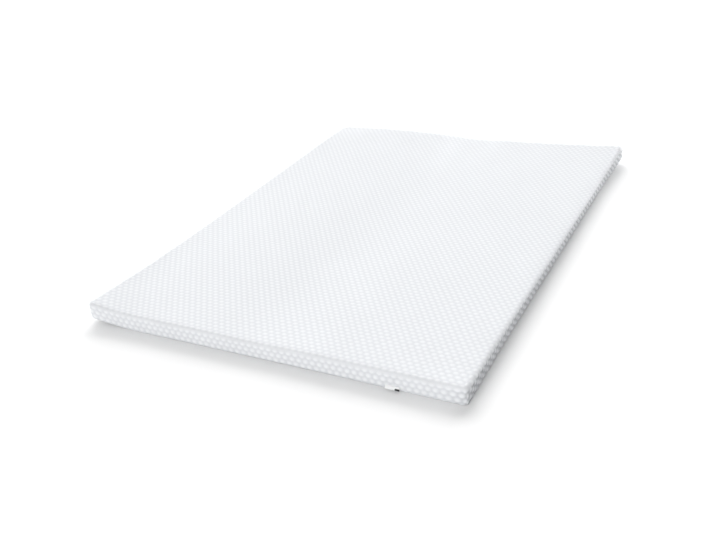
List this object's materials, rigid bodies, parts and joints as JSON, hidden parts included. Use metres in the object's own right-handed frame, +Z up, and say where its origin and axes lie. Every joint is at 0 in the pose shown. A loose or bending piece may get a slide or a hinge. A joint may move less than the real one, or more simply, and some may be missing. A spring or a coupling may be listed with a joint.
{
  "type": "mattress topper",
  "caption": "Flat foam mattress topper in a white knitted cover, with rounded edges, slightly lifting corners and a small blank tab in the lower front seam.",
  "frame": {"origin": "middle of the flat underside, on the surface that the topper lies on", "axes": "+X across the bed towards the tab's half, +Y along the bed from the front edge with the tab to the back edge, +Z up through the thickness"},
  "size_m": [1.4076, 2.0184, 0.0761],
  "materials": {
    "knit_cover": "matte raised knit, white with a slightly cool tone",
    "tab_tape": "smooth white tape, black at one end, no wording"
  },
  "bodies": {
    "root": {"topper_pad": "knit_cover", "seam_tab": "tab_tape"}
  },
  "joints": []
}
